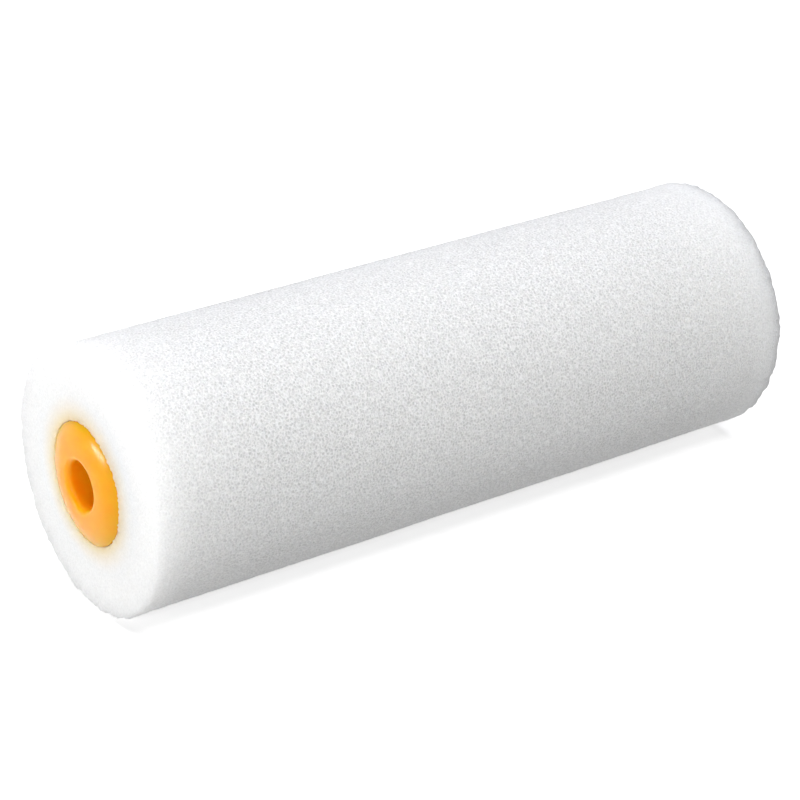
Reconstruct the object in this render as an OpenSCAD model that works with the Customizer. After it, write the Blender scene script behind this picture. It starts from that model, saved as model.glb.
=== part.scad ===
// Mini foam paint roller. A foam sleeve is glued round a plastic core tube, and a
// bored plug is pressed into each end of the tube. The whole roller turns on the
// steel rod of a roller frame. Its axis is Y, and its origin is the middle of the
// roller. The near end faces -Y. Both ends are the same.

/* [Foam sleeve] */
// Length of the foam from end to end
foam_len = 100; // [60:5:150]
// Outside diameter of the foam
foam_d = 35; // [30:1:50]
// Radius of the soft outer edge at each end of the foam
foam_edge_r = 0.5; // [0.25:0.25:4]
// Radius of the soft inner edge where the foam meets a plug
mouth_edge_r = 0.3; // [0.2:0.1:1.5]

/* [Core tube] */
// Outside diameter of the core tube
core_d = 16; // [15:0.5:18]
// Wall thickness of the core tube
core_wall = 1.5; // [1:0.1:1.8]

/* [Glue film] */
// Thickness of the hot-melt film between tube and foam
glue_t = 0.15; // [0.1:0.05:0.4]
// Bare stretch of tube at each end of the film
glue_margin = 3; // [1:0.5:8]

/* [End plugs] */
// Diameter of the bore that turns on the rod
bore_d = 6.2; // [6.1:0.1:6.6]
// Radius of the smooth lip that leads into the bore
lip_r = 0.8; // [0.5:0.05:0.95]
// Width of the flat ring on the crown, which runs against the rod's collar
thrust_w = 0.3; // [0.2:0.1:1]
// Height of the crown above the flange's rim, which is level with the end of the foam
dome_h = 1; // [1:0.1:2]
// Thickness of the flange's rim
flange_t = 2; // [1:0.1:3]
// Length of the barrel that is pressed into the tube
barrel_len = 12; // [8:0.5:16]
// Wall thickness of the barrel
barrel_wall = 1.1; // [0.8:0.1:1.2]
// Gap between the barrel and the tube, which the crush ribs fill
barrel_gap = 0.15; // [0.1:0.05:0.25]
// Number of crush ribs round the barrel
rib_count = 8; // [4:1:12]
// Width of a crush rib
rib_w = 0.8; // [0.5:0.1:1.2]
// Wall thickness of the hub round the bore
hub_wall = 1.1; // [0.8:0.1:1.2]
// Distance that the hub stands past the barrel
hub_stand = 2; // [1:0.5:4]
// Number of webs between hub and barrel
web_count = 4; // [3:1:6]
// Thickness of a web
web_t = 1; // [0.8:0.1:1.4]

/* [Hidden] */
$fn = 96;
eps = 0.01;

core_r = core_d / 2;
core_bore_r = core_r - core_wall;
bore_r = bore_d / 2;
glue_r = core_r + glue_t;
foam_r = foam_d / 2;

// The flange stays just clear of the foam. Its dome is an arc from crown to rim.
flange_gap = 0.05;
flange_r = glue_r - flange_gap;
crown_r = bore_r + lip_r + thrust_w;
dome_w = flange_r - crown_r;
dome_r = (dome_w * dome_w + dome_h * dome_h) / (2 * dome_h);

core_len = foam_len - 2 * flange_t;
glue_len = core_len - 2 * glue_margin;

// Stations along a plug, measured in from the flange's rim.
barrel_end = flange_t + barrel_len;
hub_end = barrel_end + hub_stand;
web_end = barrel_end - 3;
rib_end = barrel_end - 1.5;
barrel_r = core_bore_r - barrel_gap;
barrel_bore_r = barrel_r - barrel_wall;
hub_r = bore_r + hub_wall;
barrel_chamfer = 0.6;
hub_lead_in = 0.8;

// Turns a profile, drawn as radius across and station up, round the Y axis.
module turned_about_y() {
    rotate([-90, 0, 0]) rotate_extrude() children();
}

// A plain tube round the Y axis, centred on the origin.
module tube(inner_r, outer_r, length) {
    turned_about_y()
        translate([inner_r, -length / 2]) square([outer_r - inner_r, length]);
}

// What a rounding of radius r takes off the corner of a profile at the origin,
// where the material lies towards +X and +Y.
module corner_waste(r) {
    difference() {
        translate([-eps, -eps]) square(r + eps);
        translate([r, r]) circle(r);
    }
}

// Half of the foam's wall, from the near end to the middle of the roller.
module half_foam_profile() {
    wall = foam_r - glue_r;
    difference() {
        translate([glue_r, 0]) square([wall, foam_len / 2]);
        translate([foam_r, 0]) mirror([1, 0]) corner_waste(foam_edge_r);
        translate([glue_r, 0]) corner_waste(mouth_edge_r);
    }
}

module foam_sleeve() {
    color("white")
        turned_about_y() {
            translate([0, -foam_len / 2]) half_foam_profile();
            mirror([0, 1]) translate([0, -foam_len / 2]) half_foam_profile();
        }
}

module glue_film() {
    color("ivory") tube(core_r, glue_r, glue_len);
}

module core_tube() {
    color("whitesmoke") tube(core_bore_r, core_r, core_len);
}

// The flange: a disc that covers the end of the tube, with a low dome on it. The
// dome has a flat ring at its crown and a rounded lip into the bore.
module flange_profile() {
    translate([bore_r, 0]) square([flange_r - bore_r, flange_t]);
    difference() {
        translate([bore_r, -dome_h]) square([crown_r - bore_r, dome_h + eps]);
        translate([bore_r, -dome_h]) corner_waste(lip_r);
    }
    intersection() {
        translate([crown_r - eps, -dome_h]) square([dome_w + eps, dome_h + eps]);
        translate([crown_r, dome_r - dome_h]) circle(dome_r);
    }
}

// The hub: a tube round the bore, with a cone at its inner end that guides the rod.
module hub_profile() {
    start = flange_t - eps;
    polygon([
        [bore_r, start],
        [hub_r, start],
        [hub_r, hub_end],
        [bore_r + hub_lead_in, hub_end],
        [bore_r, hub_end - hub_lead_in]
    ]);
}

// The barrel: the press-fit tube, chamfered at its inner end.
module barrel_profile() {
    start = flange_t - eps;
    polygon([
        [barrel_bore_r, start],
        [barrel_r, start],
        [barrel_r, barrel_end - barrel_chamfer],
        [barrel_r - barrel_chamfer, barrel_end],
        [barrel_bore_r, barrel_end]
    ]);
}

// One crush rib, from inside the barrel's wall out to the tube.
module crush_rib() {
    intersection() {
        translate([barrel_r - barrel_wall / 2, -rib_w / 2, flange_t - eps])
            cube([core_r, rib_w, rib_end - flange_t]);
        cylinder(r = core_bore_r, h = hub_end);
    }
}

// One web, from inside the hub's wall into the barrel's wall.
module web() {
    hub_mid = bore_r + hub_wall / 2;
    barrel_mid = barrel_bore_r + barrel_wall / 2;
    translate([hub_mid, -web_t / 2, flange_t - eps])
        cube([barrel_mid - hub_mid, web_t, web_end - flange_t]);
}

// A plug round the Z axis, with its dome below zero and its barrel above.
module end_plug() {
    rotate_extrude() flange_profile();
    rotate_extrude() hub_profile();
    rotate_extrude() barrel_profile();
    for (i = [0 : rib_count - 1])
        rotate([0, 0, i * 360 / rib_count]) crush_rib();
    for (i = [0 : web_count - 1])
        rotate([0, 0, (i + 0.5) * 360 / web_count]) web();
}

module near_end_plug() {
    color("orange")
        translate([0, -foam_len / 2, 0]) rotate([-90, 0, 0]) end_plug();
}

module far_end_plug() {
    color("orange")
        translate([0, foam_len / 2, 0]) rotate([90, 0, 0]) end_plug();
}

foam_sleeve();
glue_film();
core_tube();
near_end_plug();
far_end_plug();
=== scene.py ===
import math

import bpy
import numpy as np
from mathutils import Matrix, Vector, noise


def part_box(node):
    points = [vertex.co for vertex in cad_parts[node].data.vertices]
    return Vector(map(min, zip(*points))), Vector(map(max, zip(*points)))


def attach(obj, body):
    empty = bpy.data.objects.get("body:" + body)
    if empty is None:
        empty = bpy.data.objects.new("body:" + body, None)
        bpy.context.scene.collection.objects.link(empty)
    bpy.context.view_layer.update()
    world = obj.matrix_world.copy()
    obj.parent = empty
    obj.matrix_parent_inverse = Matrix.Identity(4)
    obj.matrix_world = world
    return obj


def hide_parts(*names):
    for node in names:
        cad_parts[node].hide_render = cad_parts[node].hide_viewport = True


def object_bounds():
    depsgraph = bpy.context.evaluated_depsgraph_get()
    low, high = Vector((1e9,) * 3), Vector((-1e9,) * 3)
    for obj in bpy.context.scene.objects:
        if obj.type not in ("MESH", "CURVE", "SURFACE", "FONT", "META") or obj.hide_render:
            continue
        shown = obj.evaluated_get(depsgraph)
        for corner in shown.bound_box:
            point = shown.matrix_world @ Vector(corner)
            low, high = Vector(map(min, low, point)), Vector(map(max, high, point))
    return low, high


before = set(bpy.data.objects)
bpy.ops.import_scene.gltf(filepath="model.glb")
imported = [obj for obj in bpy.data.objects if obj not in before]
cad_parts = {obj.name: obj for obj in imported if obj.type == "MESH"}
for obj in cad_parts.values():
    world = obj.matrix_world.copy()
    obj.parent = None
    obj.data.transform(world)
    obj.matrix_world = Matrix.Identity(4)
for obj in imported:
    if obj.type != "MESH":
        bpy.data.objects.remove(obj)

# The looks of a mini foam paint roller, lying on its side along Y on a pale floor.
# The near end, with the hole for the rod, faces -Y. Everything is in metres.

CAD_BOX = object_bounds()
MM = 0.001

# Foam mesh: its grid, the radii of its edges, and its clearance from the glue film.
FOAM_STEP = 0.38 * MM
FOAM_EDGE_R = 0.5 * MM
MOUTH_EDGE_R = 0.15 * MM
MOUTH_STEPS = 4
HIDDEN_RINGS = 10
GLUE_CLEARANCE = 0.02 * MM

# Foam relief: the height and the size of each wave, how far the two kinds of fuzz reach
# from their edges, and how far from the inner wall, which is hidden, the relief begins.
BODY_WAVE = 0.10 * MM
BODY_WAVE_SIZE = 18 * MM
GRAIN = 0.05 * MM
COARSE_GRAIN_SIZE = 1.1 * MM
FINE_GRAIN_SIZE = 0.55 * MM
EDGE_WAVE = 0.20 * MM
SCALLOP_SIZE = 1.3 * MM
EDGE_FUZZ = 0.12 * MM
COARSE_TUFT_SIZE = 0.9 * MM
FINE_TUFT_SIZE = 0.5 * MM
EDGE_REACH = 3.0 * MM
MOUTH_FUZZ = 0.16 * MM
MOUTH_TUFT_SIZE = 0.45 * MM
MOUTH_REACH = 1.2 * MM
RELIEF_START = 0.045 * MM

# Foam pores: the cells of their net, the finer speckle over it, and the stretches at
# each end over which they lose contrast and turn pale, down to these shares; this fading
# is painted light, for light that floods in through the end faces.
PORE_SIZE = 0.42 * MM
SPECKLE_SIZE = 0.30 * MM
CONTRAST_FADE_REACH = 16.0 * MM
END_CONTRAST = 0.5
PAINTED_LIGHT_REACH = 5.0 * MM
PAINTED_LIGHT_END_DEPTH = 0.5

# The width of the painted orange glow round a plug, for the plug's light shining into the
# foam, and how far light travels inside the foam away from the plug and beside it.
PAINTED_GLOW_REACH = 4.0 * MM
LIGHT_REACH = 12.0 * MM
LIGHT_REACH_BY_PLUG = 2.0 * MM

# Camera, as an orbit round a point close to the middle of the roller. Its angles are in
# degrees, and its lens is in millimetres.
CAMERA_TARGET = Vector((-0.5, -2.0, -1.7)) * MM
CAMERA_DISTANCE = 351 * MM
CAMERA_AZIMUTH = 54.84
CAMERA_ELEVATION = 25.33
CAMERA_LENS = 117.8

# Lights: direction to the light in degrees, its distance, width and height in metres,
# its power and its colour.
SOFTBOXES = {
    "key": {
        "azimuth": 80, "elevation": 59, "distance": 0.7, "size": (0.3, 0.3),
        "watts": 3.08, "colour": (1.0, 1.0, 1.0),
    },
    "front": {
        "azimuth": -25, "elevation": 1.5, "distance": 0.6, "size": (0.17, 0.05),
        "watts": 1.35, "colour": (1.0, 0.995, 0.965),
    },
    "fill": {
        "azimuth": 38, "elevation": 22, "distance": 0.7, "size": (0.12, 0.12),
        "watts": 2.2, "colour": (1.0, 1.0, 1.0),
    },
    "overhead": {
        "azimuth": -90, "elevation": 65, "distance": 0.8, "size": (0.8, 0.8),
        "watts": 4.85, "colour": (0.97, 0.98, 1.04),
    },
}

# The world's strength above and below the horizon, and the half width of the blend.
SKY_LIGHT = 0.02
GROUND_LIGHT = 0.575
HORIZON_BLEND = 0.3

# The floor reaches this far to each side, in metres.
FLOOR_REACH = 4.0
FLOOR_GLOW = 0.4


def orbit(azimuth, elevation):
    """The unit vector towards a place on the sphere; azimuth 0 is on the -Y side."""
    a = math.radians(azimuth)
    e = math.radians(elevation)
    return Vector((math.sin(a) * math.cos(e), -math.cos(a) * math.cos(e), math.sin(e)))


def look_at(obj, eye, target):
    obj.location = eye
    obj.rotation_euler = (target - eye).to_track_quat("-Z", "Y").to_euler()


def outer_radius(box):
    """The radius of the round thing about the Y axis that just fills this box."""
    low, high = box
    return (high[0] - low[0]) / 2


# ---------------------------------------------------------------- material tools

def new_material(name):
    material = bpy.data.materials.new(name)
    material.use_nodes = True
    tree = material.node_tree
    return material, tree, tree.nodes["Principled BSDF"]


def add_node(tree, kind, **values):
    """A shader node with its own settings."""
    made = tree.nodes.new(kind)
    for key, value in values.items():
        setattr(made, key, value)
    return made


def object_points(tree):
    return tree.nodes.new("ShaderNodeTexCoord").outputs["Object"]


def split_xyz(tree, vector):
    made = tree.nodes.new("ShaderNodeSeparateXYZ")
    tree.links.new(vector, made.inputs["Vector"])
    return made.outputs


def cells(tree, points, size):
    """The distance to the nearest wall between cells of this size."""
    made = add_node(tree, "ShaderNodeTexVoronoi", feature="DISTANCE_TO_EDGE")
    made.inputs["Scale"].default_value = 1 / size
    tree.links.new(points, made.inputs["Vector"])
    return made.outputs["Distance"]


def cloud(tree, points, size, detail=2.0):
    """Soft noise with features of this size, mostly between 0.3 and 0.7."""
    made = tree.nodes.new("ShaderNodeTexNoise")
    made.inputs["Scale"].default_value = 1 / size
    made.inputs["Detail"].default_value = detail
    tree.links.new(points, made.inputs["Vector"])
    return made.outputs["Fac"]


def remap(tree, value, low, high, new_low, new_high):
    """Stretches low..high to new_low..new_high, and holds the ends beyond that."""
    made = tree.nodes.new("ShaderNodeMapRange")
    made.inputs["From Min"].default_value = low
    made.inputs["From Max"].default_value = high
    made.inputs["To Min"].default_value = new_low
    made.inputs["To Max"].default_value = new_high
    tree.links.new(value, made.inputs["Value"])
    return made.outputs["Result"]


def spread(tree, noise_value, low=0.0, high=1.0):
    """Stretches soft noise to the whole of low..high."""
    return remap(tree, noise_value, 0.3, 0.7, low, high)


def calc(tree, operation, a, b=0.0):
    """One step of arithmetic on one or two values, each a number or a socket."""
    made = add_node(tree, "ShaderNodeMath", operation=operation)
    for socket, value in zip(made.inputs, (a, b)):
        if isinstance(value, (int, float)):
            socket.default_value = value
        else:
            tree.links.new(value, socket)
    return made.outputs["Value"]


def blend_colours(tree, factor, low, high):
    """Mixes two colours, each a tuple or a socket, by a factor from 0 to 1."""
    made = add_node(tree, "ShaderNodeMix", data_type="RGBA")
    tree.links.new(factor, made.inputs["Factor"])
    for socket, value in ((made.inputs[6], low), (made.inputs[7], high)):
        if isinstance(value, tuple):
            socket.default_value = (*value, 1)
        else:
            tree.links.new(value, socket)
    return made.outputs[2]


def bump(tree, height, depth, strength=1.0):
    made = tree.nodes.new("ShaderNodeBump")
    made.inputs["Strength"].default_value = strength
    made.inputs["Distance"].default_value = depth
    tree.links.new(height, made.inputs["Height"])
    return made.outputs["Normal"]


# ---------------------------------------------------------------- materials

def pore_depth(tree, points):
    """How deep in a pore each point is: 0 on a strut, up to 1 inside a pore.

    The pores are painted shallower and paler close to the ends, as painted light for the
    light that floods in there.
    """
    net = remap(tree, cells(tree, points, PORE_SIZE), 0.0, 0.28, 0.0, 0.5)
    speckle = remap(tree, cloud(tree, points, SPECKLE_SIZE, 1.0), 0.35, 0.65, 0.0, 0.5)
    pores = calc(tree, "ADD", net, speckle)
    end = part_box("foam_sleeve")[1][1]
    from_middle = calc(tree, "ABSOLUTE", split_xyz(tree, points)["Y"])
    # Painted light: toward each end the pores lose contrast and turn paler, for the light that
    # floods in through the end faces.
    contrast = remap(tree, from_middle, end - CONTRAST_FADE_REACH, end, 1.0, END_CONTRAST)
    depth = calc(tree, "MULTIPLY", calc(tree, "SUBTRACT", pores, 0.5), contrast)
    painted_end_light = remap(tree, from_middle, end - PAINTED_LIGHT_REACH, end, 1.0, PAINTED_LIGHT_END_DEPTH)
    return calc(tree, "MULTIPLY", calc(tree, "ADD", depth, 0.5), painted_end_light)


def plug_nearness(tree, points):
    """1 at the radius of a plug's rim, falling to 0 over PAINTED_GLOW_REACH."""
    place = split_xyz(tree, points)
    across = calc(tree, "MULTIPLY", place["X"], place["X"])
    upward = calc(tree, "MULTIPLY", place["Z"], place["Z"])
    radius = calc(tree, "SQRT", calc(tree, "ADD", across, upward))
    rim_r = outer_radius(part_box("near_end_plug"))
    return remap(tree, radius, rim_r, rim_r + PAINTED_GLOW_REACH, 1.0, 0.0)


def foam_material():
    """Fine open-cell foam: a net of pale struts over pores, with light let through.

    Round the plugs the foam is painted orange and lighter, a painted glow for the plug's light
    shining into it, and light travels less far inside it.
    """
    material, tree, shader = new_material("white_foam")
    points = object_points(tree)
    depth = pore_depth(tree, points)
    patches = spread(tree, cloud(tree, points, 6 * MM))
    light = blend_colours(tree, patches, (0.96, 0.96, 0.96), (0.98, 0.98, 0.98))
    grain = blend_colours(tree, depth, light, (0.63, 0.63, 0.63))
    nearness = plug_nearness(tree, points)
    # Painted glow: the foam round each plug is painted orange and lighter, for the plug's light
    # shining into it.
    painted_glow = calc(tree, "MULTIPLY", nearness, nearness)
    colour = blend_colours(tree, painted_glow, grain, (1.0, 0.70, 0.33))
    tree.links.new(colour, shader.inputs["Base Color"])
    tree.links.new(bump(tree, depth, -0.25 * MM), shader.inputs["Normal"])
    shader.inputs["Roughness"].default_value = 0.95
    shader.inputs["Specular IOR Level"].default_value = 0.15
    shader.inputs["Subsurface Weight"].default_value = 1.0
    shader.inputs["Subsurface Radius"].default_value = (1.0, 0.97, 0.93)
    reach = remap(tree, nearness, 0.0, 1.0, LIGHT_REACH, LIGHT_REACH_BY_PLUG)
    tree.links.new(reach, shader.inputs["Subsurface Scale"])
    shader.inputs["Sheen Weight"].default_value = 0.1
    shader.inputs["Sheen Roughness"].default_value = 0.6
    return material


def plug_material():
    """Glossy moulded polypropylene, slightly translucent, with a faint flow pattern."""
    material, tree, shader = new_material("orange_plastic")
    points = object_points(tree)
    flow = spread(tree, cloud(tree, points, 5 * MM, 3.0))
    colour = blend_colours(tree, flow, (0.99, 0.34, 0.003), (0.995, 0.37, 0.005))
    tree.links.new(colour, shader.inputs["Base Color"])
    haze = spread(tree, cloud(tree, points, 1.2 * MM, 4.0), 0.14, 0.24)
    tree.links.new(haze, shader.inputs["Roughness"])
    skin = cloud(tree, points, 0.25 * MM, 3.0)
    tree.links.new(bump(tree, skin, 0.01 * MM, 0.3), shader.inputs["Normal"])
    shader.inputs["IOR"].default_value = 1.49
    shader.inputs["Specular IOR Level"].default_value = 0.12
    shader.inputs["Subsurface Weight"].default_value = 1.0
    shader.inputs["Subsurface Radius"].default_value = (1.0, 0.30, 0.06)
    shader.inputs["Subsurface Scale"].default_value = 4.0 * MM
    return material


def tube_material():
    """Natural extruded polypropylene with faint lines along the extrusion."""
    material, tree, shader = new_material("core_plastic")
    points = object_points(tree)
    squeeze = tree.nodes.new("ShaderNodeMapping")
    squeeze.inputs["Scale"].default_value = (1, 0.02, 1)
    tree.links.new(points, squeeze.inputs["Vector"])
    lines = cloud(tree, squeeze.outputs["Vector"], 0.4 * MM, 3.0)
    shade = spread(tree, lines)
    colour = blend_colours(tree, shade, (0.80, 0.80, 0.77), (0.88, 0.88, 0.86))
    tree.links.new(colour, shader.inputs["Base Color"])
    tree.links.new(bump(tree, lines, 0.02 * MM, 0.5), shader.inputs["Normal"])
    shader.inputs["Roughness"].default_value = 0.42
    shader.inputs["IOR"].default_value = 1.49
    shader.inputs["Subsurface Weight"].default_value = 0.4
    shader.inputs["Subsurface Radius"].default_value = (1.0, 1.0, 0.9)
    shader.inputs["Subsurface Scale"].default_value = 1.0 * MM
    return material


def glue_material():
    """Hot-melt film, yellowish and uneven."""
    material, tree, shader = new_material("hot_melt_glue")
    points = object_points(tree)
    runs = cloud(tree, points, 2.5 * MM, 4.0)
    thick = spread(tree, runs)
    colour = blend_colours(tree, thick, (0.90, 0.86, 0.72), (0.80, 0.70, 0.46))
    tree.links.new(colour, shader.inputs["Base Color"])
    tree.links.new(bump(tree, runs, 0.1 * MM, 0.6), shader.inputs["Normal"])
    shader.inputs["Roughness"].default_value = 0.3
    shader.inputs["IOR"].default_value = 1.48
    return material


def floor_material():
    """Pale paper with a faint tooth, lit a little from behind like a light table."""
    material, tree, shader = new_material("pale_floor")
    shade = spread(tree, cloud(tree, object_points(tree), 1.5 * MM, 3.0))
    colour = blend_colours(tree, shade, (0.93, 0.93, 0.93), (0.95, 0.95, 0.95))
    tree.links.new(colour, shader.inputs["Base Color"])
    shader.inputs["Roughness"].default_value = 0.9
    shader.inputs["Specular IOR Level"].default_value = 0.1
    shader.inputs["Emission Color"].default_value = (1, 1, 1, 1)
    shader.inputs["Emission Strength"].default_value = FLOOR_GLOW
    return material


# ---------------------------------------------------------------- foam sleeve

def arc(centre, radius, start, end, steps):
    """Points on a circle in the (radius, y) plane, with both ends; angles in degrees."""
    angles = np.radians(np.linspace(start, end, steps + 1))
    return [(centre[0] + radius * math.cos(t), centre[1] + radius * math.sin(t)) for t in angles]


def line(start, end, step):
    """Points between start and end, without either."""
    length = math.dist(start, end)
    count = max(2, round(length / step))
    return [tuple(np.add(start, np.subtract(end, start) * i / count)) for i in range(1, count)]


def foam_profile(inner_r, outer_r, half):
    """The closed outline of the foam's wall, as (radius, y) points, anticlockwise."""
    edge = FOAM_EDGE_R
    mouth = MOUTH_EDGE_R
    edge_steps = round(edge * math.pi / 2 / FOAM_STEP)
    near_edge = arc((outer_r - edge, edge - half), edge, -90, 0, edge_steps)
    far_edge = arc((outer_r - edge, half - edge), edge, 0, 90, edge_steps)
    far_mouth = arc((inner_r + mouth, half - mouth), mouth, 90, 180, MOUTH_STEPS)
    near_mouth = arc((inner_r + mouth, mouth - half), mouth, 180, 270, MOUTH_STEPS)
    hidden_step = 2 * half / HIDDEN_RINGS
    return np.array(
        near_edge + line(near_edge[-1], far_edge[0], FOAM_STEP)
        + far_edge + line(far_edge[-1], far_mouth[0], FOAM_STEP)
        + far_mouth + line(far_mouth[-1], near_mouth[0], hidden_step)
        + near_mouth + line(near_mouth[-1], near_edge[0], FOAM_STEP)
    )


def outline_normals(profile):
    """The outward unit normal at each point of a closed anticlockwise outline."""
    along = np.roll(profile, -1, axis=0) - np.roll(profile, 1, axis=0)
    across = np.stack([along[:, 1], -along[:, 0]], axis=1)
    return across / np.linalg.norm(across, axis=1, keepdims=True)


def wave(point, size):
    """Smooth noise from -1 to 1, with features of this size."""
    return noise.noise(Vector(point) / size)


def foam_relief(point, edge_gap, mouth_gap):
    """How far a foam point stands out, from its place and its distance to the edges."""
    slow = BODY_WAVE * wave(point, BODY_WAVE_SIZE)
    grain = GRAIN * (wave(point, COARSE_GRAIN_SIZE) + 0.8 * wave(point, FINE_GRAIN_SIZE))
    near_edge = math.exp(-(edge_gap / EDGE_REACH) ** 2)
    scallop = EDGE_WAVE * near_edge * wave(point, SCALLOP_SIZE)
    tufts = wave(point, COARSE_TUFT_SIZE) + wave(point, FINE_TUFT_SIZE)
    near_mouth = math.exp(-(mouth_gap / MOUTH_REACH) ** 2)
    mouth = MOUTH_FUZZ * near_mouth * (0.3 + 1.5 * wave(point, MOUTH_TUFT_SIZE))
    return slow + grain + scallop + EDGE_FUZZ * near_edge * tufts + mouth


def foam_points(profile, spokes, inner_r, outer_r, half):
    """Turns the outline round the Y axis and adds the relief; one row per outline point."""
    axis = np.array([0, 1, 0])
    rows = []
    for (radius, y), (out_r, out_y) in zip(profile, outline_normals(profile)):
        places = spokes * radius + axis * y
        if radius > inner_r + RELIEF_START:
            edge_gap = math.hypot(outer_r - radius, half - abs(y))
            relief = [foam_relief(place, edge_gap, radius - inner_r) for place in places]
            places = places + (spokes * out_r + axis * out_y) * np.array(relief)[:, None]
        rows.append(places)
    return np.array(rows)


def closed_grid_faces(rings, seats):
    """The quads of a grid of points that closes on itself both ways."""
    ring = np.arange(rings)[:, None]
    seat = np.arange(seats)[None, :]
    next_ring = (ring + 1) % rings
    next_seat = (seat + 1) % seats
    corners = [ring * seats + seat, ring * seats + next_seat]
    corners += [next_ring * seats + next_seat, next_ring * seats + seat]
    return np.stack(corners, axis=-1).reshape(-1, 4)


def foam_sleeve():
    low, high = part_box("foam_sleeve")
    half = (high[1] - low[1]) / 2
    outer_r = outer_radius((low, high))
    inner_r = outer_radius(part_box("glue_film")) + GLUE_CLEARANCE
    around = round(2 * math.pi * outer_r / FOAM_STEP)
    angles = np.arange(around) * 2 * math.pi / around
    spokes = np.stack([np.sin(angles), np.zeros(around), np.cos(angles)], axis=1)
    profile = foam_profile(inner_r, outer_r, half)
    points = foam_points(profile, spokes, inner_r, outer_r, half)
    faces = closed_grid_faces(len(profile), around)

    mesh = bpy.data.meshes.new("foam_sleeve_detail")
    mesh.from_pydata(points.reshape(-1, 3).tolist(), [], faces.tolist())
    mesh.shade_smooth()
    mesh.materials.append(foam_material())
    piece = bpy.data.objects.new("foam_sleeve_detail", mesh)
    bpy.context.collection.objects.link(piece)
    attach(piece, "root")
    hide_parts("foam_sleeve")


def dress_node(name, material):
    """Gives a CAD node its material."""
    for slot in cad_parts[name].material_slots:
        slot.material = material


# ---------------------------------------------------------------- studio

def add_floor():
    """A floor at the foot of the CAD box. The world lights the foam through it."""
    z = CAD_BOX[0][2]
    reach = FLOOR_REACH
    mesh = bpy.data.meshes.new("floor")
    corners = [(-reach, -reach, z), (reach, -reach, z), (reach, reach, z), (-reach, reach, z)]
    mesh.from_pydata(corners, [], [(0, 1, 2, 3)])
    mesh.materials.append(floor_material())
    floor = bpy.data.objects.new("floor", mesh)
    bpy.context.collection.objects.link(floor)
    floor.visible_diffuse = False
    floor.visible_shadow = False


def add_softbox(name, azimuth, elevation, distance, size, watts, colour):
    light = bpy.data.lights.new(name, "AREA")
    light.shape = "RECTANGLE"
    light.size, light.size_y = size
    light.energy = watts
    light.color = colour
    lamp = bpy.data.objects.new(name, light)
    bpy.context.collection.objects.link(lamp)
    look_at(lamp, orbit(azimuth, elevation) * distance, Vector((0, 0, 0)))


def add_world():
    """Light from all round, which changes from the ground's to the sky's with height."""
    world = bpy.data.worlds.new("studio")
    world.use_nodes = True
    tree = world.node_tree
    background = tree.nodes["Background"]
    direction = tree.nodes.new("ShaderNodeTexCoord").outputs["Generated"]
    height = split_xyz(tree, direction)["Z"]
    strength = remap(tree, height, -HORIZON_BLEND, HORIZON_BLEND, GROUND_LIGHT, SKY_LIGHT)
    tree.links.new(strength, background.inputs["Strength"])
    background.inputs["Color"].default_value = (1, 1, 1, 1)
    bpy.context.scene.world = world


def add_camera():
    camera = bpy.data.objects.new("camera", bpy.data.cameras.new("camera"))
    bpy.context.collection.objects.link(camera)
    camera.data.lens = CAMERA_LENS
    camera.data.clip_start = 0.01
    eye = CAMERA_TARGET + orbit(CAMERA_AZIMUTH, CAMERA_ELEVATION) * CAMERA_DISTANCE
    look_at(camera, eye, CAMERA_TARGET)
    bpy.context.scene.camera = camera


add_camera()
foam_sleeve()
plug = plug_material()
dress_node("near_end_plug", plug)
dress_node("far_end_plug", plug)
dress_node("core_tube", tube_material())
dress_node("glue_film", glue_material())
add_floor()
for box_name, settings in SOFTBOXES.items():
    add_softbox(box_name, **settings)
add_world()
bpy.context.scene.view_settings.view_transform = "Standard"
